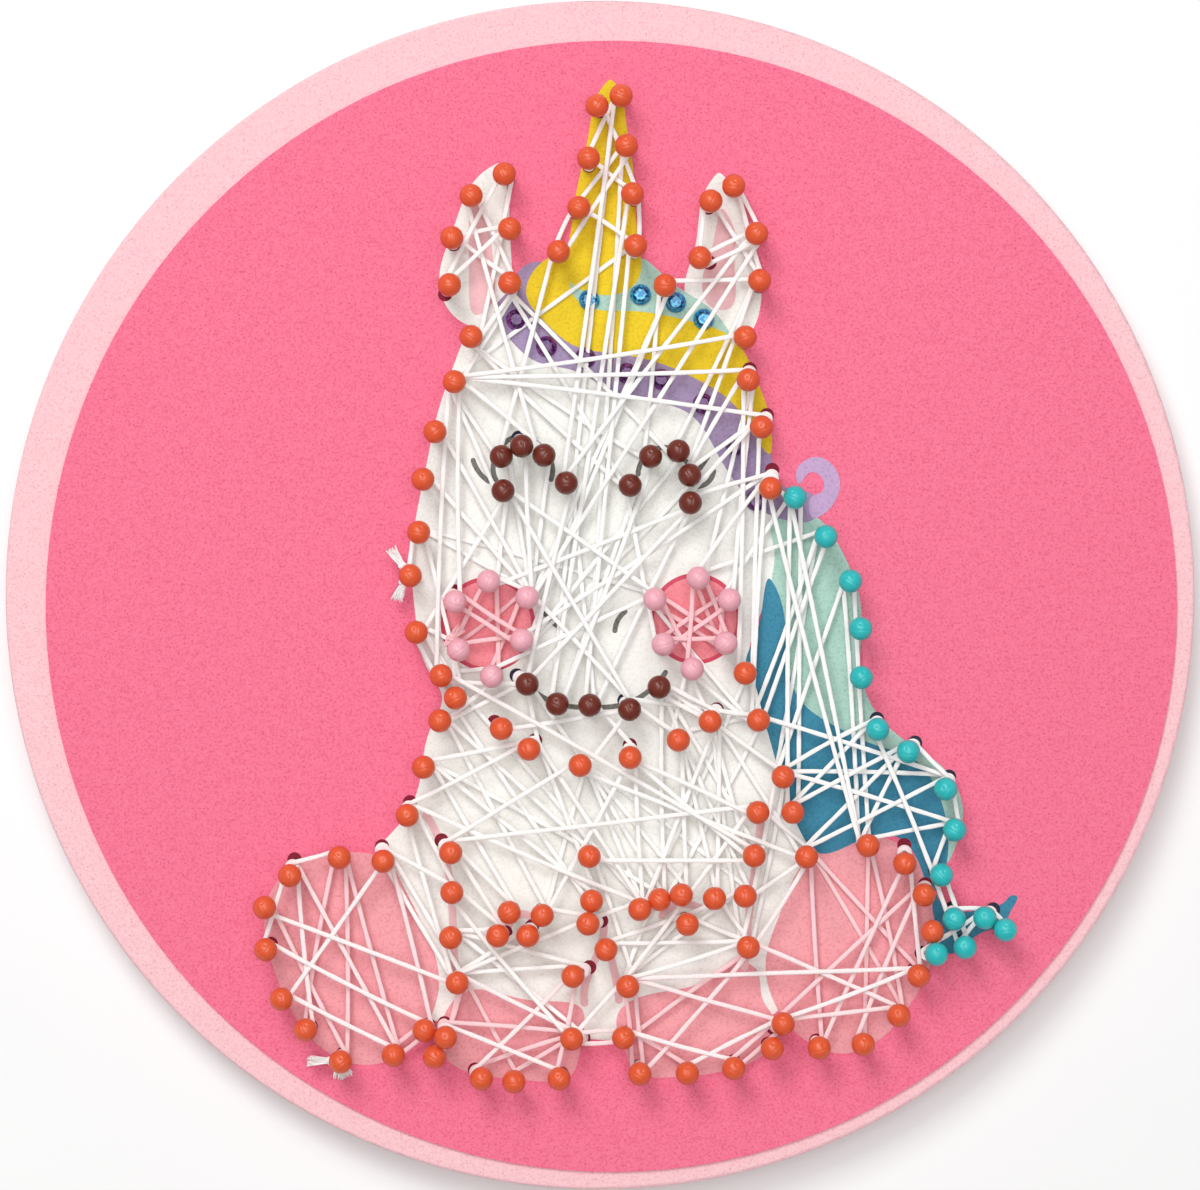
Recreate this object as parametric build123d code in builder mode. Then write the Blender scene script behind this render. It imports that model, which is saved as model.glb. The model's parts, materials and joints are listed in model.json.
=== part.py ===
"""Round foam string-art picture: a printed foam disc, ball-headed pins and a web of thread.

Frame: the board lies flat, +Z up, the picture's top towards +Y.
The origin is at the middle of the board's back face. Millimetres throughout.
"""

import math
import os

from build123d import *

# ---------------------------------------------------------------- driving dimensions
BOARD_DIAMETER = 200.0
BOARD_THICKNESS = 10.0
EDGE_ROUNDING = 0.6

FACE_DIAMETER = 190.0
FACE_THICKNESS = 0.5
FACE_OFFSET = (1.9, -1.9)       # the printed disc is glued on a little off centre
FILM_THICKNESS = 0.1
FILM_MARGIN = 1.0               # the glue film stops this far inside the printed disc
INK_THICKNESS = 0.08

HEAD_DIAMETER = 3.9
HEAD_HEIGHT = 7.4               # middle of a ball head above the printed face
COLLAR_DIAMETER = 1.9
COLLAR_LENGTH = 0.7
NEEDLE_DIAMETER = 0.8
NEEDLE_DEPTH = 7.5              # how far a needle reaches below the printed face
NEEDLE_SOCKET = 1.2             # how far a needle runs on above the middle of its head
POINT_LENGTH = 2.0
MARK_DIAMETER = 2.4

THREAD_WIDTH = 0.82
THREAD_THICKNESS = 0.33
THREAD_GAP = 0.1                # between a needle and the thread wound round it
LOWEST_LEVEL = 0.35             # underside of the lowest thread above the printed face
LEVEL_STEP = 0.34
LEVELS = 12
USUAL_LEVEL = 5                 # where a thread lies that crosses nothing
TAIL_LEVEL = 9                  # the level of the cut ends beside the knots

STONE_DIAMETER = 3.5
STONE_TABLE = 1.9
STONE_HEIGHT = 1.2
STONE_GIRDLE = 0.35
GLUE_THICKNESS = 0.1
GLUE_MARGIN = 0.3               # the glue stops this far inside a stone's edge

# ---------------------------------------------------------------- levels worked out from them
FACE_BOTTOM = BOARD_THICKNESS + FILM_THICKNESS
FACE_TOP = FACE_BOTTOM + FACE_THICKNESS
INK_TOP = FACE_TOP + INK_THICKNESS
HOLE_RADIUS = NEEDLE_DIAMETER / 2 + THREAD_GAP
WRAP_RADIUS = HOLE_RADIUS + THREAD_WIDTH
SIDE_OFFSET = HOLE_RADIUS + THREAD_WIDTH / 2

# ---------------------------------------------------------------- the pins: middle of each head
ORANGE_PINS = {
    "horn": [
        (-0.5, 81.2), (3.5, 82.9), (-1.9, 72.5), (4.4, 74.6),
        (-3.5, 64.3), (5.4, 66.6), (-6.9, 57.0), (5.9, 58.0),
    ],
    "ears": [
        (-15.9, 69.9), (-21.4, 66.3), (-24.6, 59.3), (-15.0, 60.8), (-25.0, 51.5), (-15.0, 51.8),
        (22.2, 67.9), (18.4, 65.4), (26.0, 60.0), (16.6, 56.0), (26.5, 52.2), (10.8, 51.4),
    ],
    "head": [
        (-21.4, 42.9), (-24.2, 35.4), (-27.4, 27.1), (-29.4, 19.2), (-30.1, 10.4),
        (-31.5, 3.2), (-30.5, -6.2), (-26.4, -13.4), (-24.0, -17.1), (-26.6, -20.9),
        (24.1, 42.8), (24.6, 35.7), (26.8, 27.9), (28.3, 17.7), (24.1, -13.0), (26.3, -20.8),
    ],
    "chin": [
        (-16.4, -22.2), (-11.8, -25.6), (-3.3, -28.3), (5.0, -27.0), (13.0, -24.1), (18.3, -21.0),
    ],
    "body": [
        (-29.3, -28.6), (-32.0, -36.6), (-36.0, -44.2), (-24.8, -42.8), (-24.6, -49.4),
        (-24.8, -56.9), (-23.7, -64.4),
        (30.4, -30.2), (32.0, -36.1), (26.2, -36.1), (25.6, -43.3), (34.3, -43.5),
        (44.5, -41.6), (50.6, -44.6),
    ],
    "paws": [
        (-15.1, -52.7), (-9.6, -53.2), (-17.0, -56.6), (-12.0, -56.6), (-1.8, -43.4),
        (-1.4, -50.8), (-2.0, -54.5), (1.0, -58.9), (-4.5, -63.3),
        (6.6, -52.2), (9.9, -50.7), (13.5, -49.8), (19.0, -50.4), (24.1, -50.0),
        (14.5, -54.7), (24.6, -58.5), (4.6, -65.0),
    ],
    "left_hooves": [
        (-51.5, -46.6), (-43.3, -43.6), (-55.7, -51.9), (-55.5, -58.9), (-52.9, -67.1),
        (-48.9, -72.2), (-43.1, -77.5), (-34.3, -76.4), (-29.2, -72.3), (-25.6, -73.3),
        (-27.5, -76.7), (-19.7, -80.3), (-14.3, -80.8), (-6.8, -80.3), (-4.7, -73.7),
    ],
    "right_hooves": [
        (3.9, -73.5), (6.6, -79.5), (14.5, -79.4), (22.2, -78.6), (28.6, -75.3), (30.4, -71.2),
        (36.4, -75.2), (43.7, -74.6), (49.6, -69.8), (52.9, -63.2), (55.2, -55.9), (53.8, -49.8),
    ],
}
BROWN_PINS = {
    "eyes": [
        (-16.4, 23.0), (-13.0, 24.7), (-9.3, 23.2), (-5.6, 18.6), (-16.1, 17.3),
        (5.0, 18.2), (8.4, 23.0), (13.0, 23.9), (14.9, 19.9), (15.0, 15.3),
    ],
    "mouth": [(-12.1, -14.8), (-7.1, -18.1), (-1.7, -18.3), (4.9, -19.0), (9.8, -15.3)],
}
PINK_PINS = {
    "left_cheek": [
        (-18.5, 2.3), (-12.1, -0.4), (-13.0, -7.5), (-18.0, -13.5), (-23.5, -9.1), (-24.1, -1.1),
    ],
    "right_cheek": [
        (16.3, 2.8), (21.5, -0.8), (20.9, -8.0), (15.3, -12.3), (10.5, -8.2), (9.1, -0.7),
    ],
}
TURQUOISE_PINS = {
    "tail": [
        (32.4, 16.2), (37.5, 9.7), (41.6, 2.3), (43.3, -5.6), (43.4, -13.7),
        (46.1, -22.3), (51.2, -26.0), (57.4, -32.2), (58.9, -39.0), (56.7, -46.5),
    ],
    "tail_tip": [(58.8, -53.8), (63.9, -53.6), (67.2, -55.5), (60.6, -58.5), (55.7, -59.5)],
}
ALL_PINS = {**ORANGE_PINS, **BROWN_PINS, **PINK_PINS, **TURQUOISE_PINS}

# where the needles of the pins that lean most enter the face, by group and place in its list
LEANING_FEET = {
    ("ears", 4): (-26.0, 50.5),
    ("ears", 9): (18.4, 55.8),
    ("head", 11): (25.1, 37.9),
    ("head", 12): (28.0, 30.2),
    ("head", 13): (28.9, 21.0),
    ("chin", 0): (-17.7, -21.3),
    ("chin", 1): (-10.9, -24.4),
    ("chin", 3): (5.0, -25.2),
    ("chin", 5): (19.6, -19.2),
    ("body", 1): (-31.9, -34.8),
    ("body", 2): (-36.6, -42.2),
    ("body", 3): (-26.6, -41.2),
    ("body", 13): (51.1, -42.0),
    ("paws", 2): (-15.9, -56.6),
    ("paws", 3): (-11.4, -55.6),
    ("paws", 6): (0.2, -54.7),
    ("paws", 8): (-1.8, -62.5),
    ("left_hooves", 0): (-51.3, -44.4),
    ("left_hooves", 9): (-26.1, -71.9),
    ("left_hooves", 11): (-21.0, -79.7),
    ("left_hooves", 14): (-2.8, -74.3),
    ("right_hooves", 5): (29.1, -72.6),
    ("right_hooves", 11): (54.6, -48.6),
    ("eyes", 1): (-13.7, 26.4),
    ("mouth", 0): (-14.0, -13.5),
    ("mouth", 3): (4.1, -17.7),
    ("left_cheek", 5): (-24.4, 0.6),
    ("tail", 5): (46.5, -20.8),
    ("tail", 6): (52.9, -24.8),
    ("tail", 7): (58.6, -30.5),
    ("tail_tip", 0): (59.1, -52.6),
    ("tail_tip", 1): (66.0, -52.8),
    ("tail_tip", 4): (54.0, -60.1),
}
# heads that touch a neighbour stand higher or lower than the rest, above the printed face
HEAD_HEIGHTS = {
    ("paws", 6): 8.7,
    ("paws", 10): 5.8,
    ("left_hooves", 9): 8.8,
    ("eyes", 1): 8.5,
    ("tail_tip", 2): 8.4,
    ("tail_tip", 4): 9.0,
}
SMALL_LEAN = 0.4                # foot to head, sideways, of every other pin
LEAN_TURN = 137.5               # degrees from one pin's lean to the next one's

BLUE_STONES = [(-1.8, 49.5), (6.8, 50.4), (12.7, 49.1), (17.4, 46.3)]
PURPLE_STONES = [
    (-14.0, 46.2), (-9.0, 41.7), (-2.5, 39.8), (4.5, 37.2),
    (10.3, 36.2), (17.3, 32.1), (22.8, 25.2), (26.2, 15.8),
]

# ---------------------------------------------------------------- the thread: which pins each run joins
# a pin is its group's letter and its place in the group's list, and a run with = lies uppermost
PIN_LETTERS = {
    "h": "horn", "e": "ears", "d": "head", "c": "chin", "b": "body", "p": "paws",
    "l": "left_hooves", "r": "right_hooves", "y": "eyes", "m": "mouth",
    "k": "left_cheek", "q": "right_cheek", "t": "tail", "u": "tail_tip",
}
THREAD_RUNS = {
    "horn_and_ears": """
        h0-h5 h1-h2 h3-h4 h3-h6 h2-h5 h5-h7 h4-h7 h4-h6 e1-e5 e2-e5 e3-e2 e3-e4 e0-e4 e0-d0 e5-d0
        e5-d1 e7-e9 e7-e10 e6-e8 e8-e9 e8-e9 e6-e10 e11-e10
        """,
    "brow": """
        d10=d1 d11=d1 d1=d12 h1-y3 h1-m1 h3-m2 h5-m1 h6-y0 h7-d1 h7-m2 e11-k2 e11-k1 e11-y6 e8-y3
        e8-k1 e10-y7 e10-y8 e1-y2 e5-y7 e5-y5 d0-y5 d0-y6
        """,
    "face": """
        d1-y4 d1-y0 d1-y2 d1-k5 d1-d7 d3-k1 d2-k1 y4-d6 y4-k0 y4-q5 y4-m3 y1-k1 y2-k1 y0-k1 y3-b9
        y5-q5 y5-q4 y7-k2 y6-m1 y9-m0 y9-m2 y8-k2 k0-y9 y9-d13 d13-t0 d13-k2 d12-y9 d11-y8 d12-y8
        d11-d14 d11-q1 d11-q0 d13-q0 t0-q1 t1-q0 d13-d15 d12-d15 m0-y3 m1-y5 y3-m2 k3-q5 d4-k1 d4-q5
        d4-d8 d4-d5 d6-d7 d6-d7 d6-d8 d6-k4 k0-k1 k4-d8 k3-d7 d7-m0 d9-k3 d9-m0 k1-m3 k1-m4
        """,
    "chin": """
        d7=b10 d7-p5 d8-p9 d9-p4 d9-p1 m0-c1 m0-c2 c0-m3 c2-m3 m2-c3 m3-c4 m3-c5 m4-c5 m4-c5 m4-c4
        m4-p10 d14-p9 d14-d15 d15-q5 q3-d15 c5-d15 c4-d15 q3-c4 q3-c5 b7-m4 b10-m4 p13-m4
        """,
    "body": """
        b1=c1 b3=b9 b3=c2 c3=b10 p4=b10 b9=c3 p16=b9 p16=p15 l14=b4 b0-c1 b0-p0 b0-p5 b0-p4 b1-p9
        b1-b6 b3-p2 b1-b4 b3-p0 b4-p2 b5-p2 b6-p6 b6-p3 p1-c3 p1-p6 p1-c2 c1-p9 c1-p5 c3-p9 c2-p9
        p9-c5 p10-d15 p10-c2 p11-c4 p11-c2 p12-c4 p12-c5 p13-c4 p13-c2 p4-p10 p4-p16 p6-p9 b10-c5
        b11-c2 c5-b11 b9-b11 b11-p13 p13-p14 p14-p15 p12-p15 p15-b7 p15-b7 p15-c5 p7-p15 p7-p14
        p16-p14 p16-p13 p16-p10 p8-b6 p8-b5 l14-b5 l14-p16 b2-b4 b2-b6 b2-b6
        """,
    "tail": """
        d13=b12 t0=b12 t7=b11 d15=t7 t0-b8 t0-b8 t1-d15 t1-d15 t1-b7 t2-b7 t2-b12 t2-b12 t5-b7 t5-b8
        t6-b8 t6-b11 t6-b12 t7-b7 t6-t7 t7-t8 t8-b7 t8-b12 t8-t9 t5-u3 t9-u0 u0-u1 u1-u2 u1-u3 u4-u1
        u0-u3
        """,
    "left_hooves": """
        l2=b6 l3=l8 l4=l7 l14=b6 l13=l9 l14=r0 l14=r0 l0-l1 l0-l3 l0-l5 l1-l6 l1-l5 l1-l7 l0-l7 l2-l6
        b2-l4 b2-l8 l7-l8 l7-l8 b6-l10 b6-l9 b6-l12 l14-l9 l14-l11 l14-l12 p8-l11 p8-l13
        """,
    "right_hooves": """
        r9=p16 r9=r5 r5=r2 r8=p15 r8=r5 r0=r3 p16=r5 b12-r8 b12-r7 b13-r6 b13-r9 r11-r5 r11-r7 b11-r9
        b11-r8 b11-r6 b11-p15 r5-r3 r5-r3 r0-r2 p16-r1 p16-r1 r0-p15 r1-p15
        """,
    "left_cheek": "k5-k2 k5-k2 k4-k2 k0-k4 k0-k3 k1-k4 k1-k3",
    "right_cheek": "q5-q2 q5-q2 q1-q4 q1-q4 q4-q2 q0-q2 q0-q2 q0-q3 q5-q3 q1-q2",
}
# the cut ends beside the knots, each from its needle outwards
CUT_ENDS = {
    "d5": [[(-33.4, 5.2), (-34.7, 7.6)], [(-33.3, 1.6), (-33.9, -0.8)]],
    "l6": [[(-45.6, -77.9), (-48.6, -77.8)], [(-43.9, -79.3), (-43.8, -80.8)]],
    "k4": [[(-24.6, -6.9), (-23.2, -5.6)]],
}

# ---------------------------------------------------------------- the print's outlines
HEAD_AND_BODY = [
    (-22.5, 44), (-24.8, 38), (-27.4, 30), (-29.3, 21), (-30.9, 13), (-31.6, 4), (-30.8, -5),
    (-28.9, -12.5), (-26.5, -17.2), (-28.5, -22.5), (-30.2, -31), (-33.7, -38.5), (-38, -44),
    (-36, -52), (-31, -62), (-29.5, -70.8), (-26, -71.8), (-16, -73), (-4, -74.3), (3.6, -74.6),
    (12, -72), (24, -70), (29.3, -70.3), (31, -66), (33, -55), (37, -44), (33, -36), (28, -20),
    (25, -10), (27, -3), (29, 3), (30, 13), (28, 22), (22, 38), (12, 45), (0, 46), (-12, 49),
    (-18, 49),
]
LEFT_EAR = [
    (-17.4, 72.4), (-21.5, 69), (-24.8, 61), (-27, 53), (-25.5, 48), (-21, 45), (-16, 46),
    (-14.7, 54), (-15.2, 63.5), (-16, 70.5),
]
RIGHT_EAR = [
    (19.6, 70.7), (17.1, 66.3), (16, 58.5), (14.2, 51.5), (15.5, 47), (20, 43), (24, 43),
    (27, 49), (26.5, 56.5), (23.5, 66.3), (21.3, 69.8),
]
LEFT_EAR_INNER = [
    (-20.8, 66), (-18.6, 61), (-17.8, 54), (-18.5, 48.5), (-20.8, 47), (-22, 52), (-22, 60),
]
RIGHT_EAR_INNER = [(21, 64.5), (22.6, 61), (22.6, 55), (21.5, 48), (18.5, 48.5), (17.2, 53), (19.2, 60)]
HORN = [
    (1.4, 86.4), (-0.6, 83.5), (-1.9, 77.5), (-3.9, 68), (-5.3, 59), (-5.4, 53), (-3, 51.2),
    (0, 50.4), (4, 50.9), (6.4, 53), (6.5, 59), (5.5, 72), (4.2, 81), (2.8, 85.6),
]
FRINGE = [
    (-4.8, 57), (-9.6, 56), (-12.4, 50.5), (-9.4, 46), (-5, 42.2), (3.5, 40.4), (12, 38.2),
    (18.5, 35), (23.3, 31), (28.6, 23.8), (28.6, 29), (26.8, 35), (22.2, 43.2), (15.5, 45.9),
    (5, 47.7), (-3.2, 49), (-5, 52.6),
]
FORELOCK = [
    (-7, 52.6), (-4, 52.8), (0, 51.5), (4, 53), (6.6, 56.5), (10.6, 53.7), (15.5, 50.2),
    (20.8, 45.6), (22.2, 42.6), (10, 45), (0, 47), (-5, 49),
]
MANE = [
    (-10.4, 56), (-13.5, 54.5), (-15.5, 51), (-17.6, 48.4), (-15.2, 43), (-10.2, 39),
    (-4.8, 37.8), (2, 34.4), (8, 32.7), (15.3, 30.2), (19.8, 23.6), (22.8, 18.8), (27.5, 14),
    (31, 12.6), (36.3, 13.2), (36, 16.6), (31, 18.2), (28.8, 23), (22, 36), (0, 44), (-9, 50),
]
CURL = [
    (36.2, 12.9), (39.4, 15.6), (40.3, 19), (39, 21.9), (36.2, 23.2), (33.9, 22.2),
    (32.9, 20.2), (33.4, 18.6), (35.1, 20.5), (36.8, 20.2), (37.6, 18.8), (37.2, 17.3),
    (35.7, 16.6),
]
TAIL = [
    (30, 13), (36.6, 12.9), (40.8, 7), (43.4, 0.5), (43.9, -6), (43.8, -13), (46.3, -19.6),
    (52, -25), (58.4, -29.8), (60.9, -35.8), (59.8, -42), (58.3, -45), (54, -36), (44, -25.5),
    (33, -18), (31, -10), (28.8, 2), (29.2, 8),
]
TAIL_CORE = [
    (28.9, 2.3), (30.9, -3.2), (31.6, -11.5), (33.2, -17), (39.8, -22.2), (46.3, -25.2),
    (53, -27.8), (57.1, -34), (58.5, -42), (57.3, -48), (56.2, -50), (53, -43.8), (46.5, -40.2),
    (36.4, -43.2), (33.2, -38.8), (29.4, -27.5), (26.8, -19), (24.5, -11), (26.9, -4.2),
]
TAIL_LEAF = [
    (56.4, -50.2), (58, -52.2), (61, -53.2), (64, -52.8), (66.6, -52.2), (68.1, -51.4),
    (69.2, -50.4), (70, -50.6), (69.7, -51.8), (68.8, -53.4), (67.8, -55.4), (65.2, -56.3),
    (62.8, -57.5), (60.4, -59.8), (57.6, -60.3), (55.2, -60), (55, -58), (56.2, -55), (55.8, -52),
]
HOOVES = [
    [
        (-36.3, -43.9), (-44.5, -43.3), (-52.3, -46.2), (-56.1, -52), (-55.3, -61),
        (-51.5, -70.3), (-44.2, -77.7), (-39.6, -78.9), (-35.3, -78.1), (-29.2, -72.3),
        (-27, -64.5), (-29.7, -55.5), (-34.3, -46.3),
    ],
    [
        (-26.7, -73.5), (-25.6, -69.5), (-23, -66.8), (-12, -68), (-3, -69.6), (-3.2, -76),
        (-5, -80.8), (-12, -81.5), (-20, -80.6), (-25.6, -78),
    ],
    [
        (3.6, -75), (3.6, -69.4), (9, -66.9), (19, -64.2), (24.3, -61.6), (26.3, -63),
        (27.2, -67.5), (30.2, -73.3), (27.8, -77), (22.5, -79.5), (12, -81), (5.8, -80.2),
    ],
    [
        (34.4, -45), (42, -41), (46.8, -40.6), (53, -44), (57, -54), (55.9, -61),
        (51.6, -69.5), (44.8, -76), (41, -77), (36.6, -76), (30.4, -70.5), (27.8, -62),
        (30.8, -52),
    ],
]
CHEEKS = [((-18.8, -4.9), 7.6), ((16.0, -4.0), 7.3)]
CHEEK_LINE = 0.7
FACE_LINES = [
    [(-21.3, 22.6), (-20.3, 20.6), (-18.7, 19.1)],
    [(-17.5, 19.4), (-17.7, 22.8), (-14, 26.6), (-9.6, 24.6), (-8.2, 19.4)],
    [(6.4, 20.3), (7.6, 23.2), (10.7, 24.8), (14.2, 22.8), (15.8, 18.4)],
    [(16.4, 18.2), (18, 18.8), (19.1, 20.8)],
    [(16.8, 21.3), (18.1, 23.2)],
    [(-9.4, -2.8), (-7.9, -4.6), (-6, -5.9)],
    [(4.2, -2.8), (2.9, -4.4), (2.5, -6)],
    [(-14.6, -13.2), (-12, -15.5), (-7, -18.3), (-1.5, -18.9), (4.5, -18.2), (9, -15.4), (11, -13)],
]
FACE_LINE_WIDTH = 0.85
LEG_LINES = [
    [(-29.2, -37), (-27, -41), (-25, -50), (-24.6, -58), (-24.2, -64)],
    [(-15.6, -56), (-13.4, -53.6), (-11, -54.4)],
    [(0.5, -54.8), (0.4, -58), (-1.4, -62.5), (-2.6, -68.5)],
    [(1.4, -59.5), (2.6, -64), (3.2, -68)],
    [(10.4, -53.8), (13, -52), (16.8, -52.6)],
    [(27, -38), (26, -46), (24.8, -56), (24.3, -62.5)],
]
LEG_LINE_WIDTH = 1.3


def outline(points):
    """The flat region inside a smooth closed curve through the points."""
    with BuildSketch() as region:
        with BuildLine():
            Spline(*points, periodic=True)
        make_face()
    return region.sketch


def strokes(lines, width):
    """Painted lines of one width with round ends, each through its own points."""
    with BuildSketch() as region:
        with BuildLine() as pen:
            for points in lines:
                Spline(*points)
        trace(pen.line, line_width=width)
        for points in lines:
            with Locations(points[0], points[-1]):
                Circle(width / 2)
    return region.sketch


def together(*regions):
    """Several flat regions as one."""
    with BuildSketch() as joined:
        for region in regions:
            add(region)
    return joined.sketch


def needle_foot(group, index, head):
    """Where a pin's needle enters the printed face."""
    if (group, index) in LEANING_FEET:
        return LEANING_FEET[group, index]
    turn = math.radians(LEAN_TURN * index)
    return head[0] + SMALL_LEAN * math.cos(turn), head[1] + SMALL_LEAN * math.sin(turn)


def pin_axis(group, index):
    """A pin's foot on the printed face, and the way from there to the middle of its head."""
    head = ALL_PINS[group][index]
    foot = needle_foot(group, index, head)
    height = HEAD_HEIGHTS.get((group, index), HEAD_HEIGHT)
    return Vector(*foot, FACE_TOP), Vector(head[0] - foot[0], head[1] - foot[1], height)


# ---------------------------------------------------------------- one pin, stood at its foot
with BuildPart() as needle_blank:
    with BuildSketch(Plane.XZ):
        with BuildLine():
            Polyline(
                (0, -NEEDLE_DEPTH),
                (NEEDLE_DIAMETER / 2, POINT_LENGTH - NEEDLE_DEPTH),
                (NEEDLE_DIAMETER / 2, HEAD_HEIGHT + NEEDLE_SOCKET),
                (0, HEAD_HEIGHT + NEEDLE_SOCKET),
                close=True,
            )
        make_face()
    revolve(axis=Axis.Z)

with BuildPart() as head_blank:
    with Locations((0, 0, HEAD_HEIGHT)):
        Sphere(HEAD_DIAMETER / 2)
    with Locations((0, 0, HEAD_HEIGHT - HEAD_DIAMETER / 2 - COLLAR_LENGTH / 2)):
        Cylinder(COLLAR_DIAMETER / 2, 2 * COLLAR_LENGTH)
    add(needle_blank.part, mode=Mode.SUBTRACT)


def pin_pieces(blank, group):
    """One copy of a blank at every pin of a group, moved up to where its head belongs."""
    pieces = []
    for index in range(len(ALL_PINS[group])):
        foot, axis = pin_axis(group, index)
        stood = Plane(origin=foot, z_dir=axis).location
        slide = Location((0, 0, axis.length - HEAD_HEIGHT))
        pieces.append((stood * slide) * blank.part)
    return pieces


def save(shape, label):
    """Label a finished piece and write its file."""
    shape.label = label
    export_step(shape, f"parts/{label}.step")


os.makedirs("parts", exist_ok=True)

needles = {group: pin_pieces(needle_blank, group) for group in ALL_PINS}
heads = {group: pin_pieces(head_blank, group) for group in ALL_PINS}
all_needles = Compound([needle for group in ALL_PINS for needle in needles[group]])

for family, groups in (
    ("orange", ORANGE_PINS),
    ("brown", BROWN_PINS),
    ("pink", PINK_PINS),
    ("turquoise", TURQUOISE_PINS),
):
    for group in groups:
        save(Compound(heads[group]), f"pin_heads_{family}_{group}")
        save(Compound(needles[group]), f"pin_needles_{group}")

# ---------------------------------------------------------------- the board
with BuildPart() as foam_board:
    with BuildSketch():
        Circle(BOARD_DIAMETER / 2)
    extrude(amount=BOARD_THICKNESS)
    fillet(foam_board.edges(), EDGE_ROUNDING)
    add(all_needles, mode=Mode.SUBTRACT)
save(foam_board.part, "foam_board")

with BuildPart() as glue_film:
    with BuildSketch(Plane.XY.offset(BOARD_THICKNESS)):
        with Locations(FACE_OFFSET):
            Circle(FACE_DIAMETER / 2 - FILM_MARGIN)
    extrude(amount=FILM_THICKNESS)
    add(all_needles, mode=Mode.SUBTRACT)
save(glue_film.part, "glue_film")

with BuildPart() as printed_face:
    with BuildSketch(Plane.XY.offset(FACE_BOTTOM)):
        with Locations(FACE_OFFSET):
            Circle(FACE_DIAMETER / 2)
    extrude(amount=FACE_THICKNESS)
    add(all_needles, mode=Mode.SUBTRACT)
save(printed_face.part, "printed_face")

# ---------------------------------------------------------------- the print, one ink after another
def foot_marks(pins):
    """The printed dots, one under every pin of these groups."""
    with BuildSketch() as dots:
        for group, group_heads in pins.items():
            for index, head in enumerate(group_heads):
                with Locations(needle_foot(group, index, head)):
                    Circle(MARK_DIAMETER / 2)
    return dots.sketch


with BuildSketch() as cheek_fills:
    for centre, radius in CHEEKS:
        with Locations(centre):
            Circle(radius)

with BuildSketch() as cheek_rings:
    for centre, radius in CHEEKS:
        with Locations(centre):
            Circle(radius + CHEEK_LINE / 2)
            Circle(radius - CHEEK_LINE / 2, mode=Mode.SUBTRACT)

# topmost first: what lies higher in this list is cut out of everything after it
INKS = [
    ("pin_marks_red", foot_marks({**ORANGE_PINS, **PINK_PINS})),
    ("pin_marks_navy", foot_marks({**BROWN_PINS, **TURQUOISE_PINS})),
    ("face_lines", strokes(FACE_LINES, FACE_LINE_WIDTH)),
    ("cheek_rings", cheek_rings.sketch),
    ("cheek_fills", cheek_fills.sketch),
    ("leg_lines", strokes(LEG_LINES, LEG_LINE_WIDTH)),
    ("horn_and_fringe", together(outline(HORN), outline(FRINGE))),
    ("forelock", outline(FORELOCK)),
    ("curl", outline(CURL)),
    ("mane", outline(MANE)),
    ("tail_core", together(outline(TAIL_CORE), outline(TAIL_LEAF))),
    ("tail", outline(TAIL)),
    ("hooves", together(*[outline(hoof) for hoof in HOOVES])),
    ("ear_inners", together(outline(LEFT_EAR_INNER), outline(RIGHT_EAR_INNER))),
    ("figure", together(outline(HEAD_AND_BODY), outline(LEFT_EAR), outline(RIGHT_EAR))),
]
for place, (label, region) in enumerate(INKS):
    with BuildPart() as ink:
        with BuildSketch(Plane.XY.offset(FACE_TOP)):
            add(region)
            for _, covering in INKS[:place]:
                add(covering, mode=Mode.SUBTRACT)
        extrude(amount=INK_THICKNESS)
        add(all_needles, mode=Mode.SUBTRACT)
    save(ink.part, f"ink_{label}")

# ---------------------------------------------------------------- flat-backed stones on dots of glue
with BuildPart() as stone_blank:
    with BuildSketch(Plane.XY.offset(GLUE_THICKNESS)):
        Circle(STONE_DIAMETER / 2)
    extrude(amount=STONE_GIRDLE)
    with BuildSketch(Plane.XY.offset(GLUE_THICKNESS + STONE_GIRDLE)):
        Circle(STONE_DIAMETER / 2)
    with BuildSketch(Plane.XY.offset(STONE_HEIGHT)):
        RegularPolygon(STONE_TABLE / 2, 8)
    loft()

for family, places in (("blue", BLUE_STONES), ("purple", PURPLE_STONES)):
    stones = [Location((x, y, INK_TOP)) * stone_blank.part for x, y in places]
    save(Compound(stones), f"stones_{family}")

with BuildPart() as stone_glue:
    for x, y in BLUE_STONES + PURPLE_STONES:
        with Locations((x, y, INK_TOP + GLUE_THICKNESS / 2)):
            Cylinder(STONE_DIAMETER / 2 - GLUE_MARGIN, GLUE_THICKNESS)
save(stone_glue.part, "stone_glue")

# ---------------------------------------------------------------- the thread
def needle_at(pin, height):
    """Where a needle's middle line is, this high above the printed face."""
    foot, axis = pin_axis(PIN_LETTERS[pin[0]], int(pin[1:]))
    return Vector(foot.X + axis.X * height / axis.Z, foot.Y + axis.Y * height / axis.Z)


def distance(point, start, end):
    """From a point to the nearest place on a straight line between two others."""
    along = end - start
    share = min(1, max(0, (point - start).dot(along) / along.dot(along)))
    return (point - start - along * share).length


def middle_line(start_pin, end_pin, height, sides):
    """A run's middle line, which leaves each needle on the side given, 1 or -1."""
    start = needle_at(start_pin, height)
    end = needle_at(end_pin, height)
    along = (end - start).normalized()
    across = Vector(-along.Y, along.X) * SIDE_OFFSET
    return start + across * sides[0], end + across * sides[1]


def read_runs(text):
    """The pins that each run joins, and the level that it wants: high on a leaning needle."""
    leaning = [letter + str(index) for letter in PIN_LETTERS
               for group, index in LEANING_FEET if group == PIN_LETTERS[letter]]
    runs = []
    for run in text.split():
        start_pin, end_pin = run.replace("=", "-").split("-")
        wanted = LEVELS - 1 if start_pin in leaning or end_pin in leaning else USUAL_LEVEL
        runs.append((start_pin, end_pin, LEVELS if "=" in run else wanted))
    return runs


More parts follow.
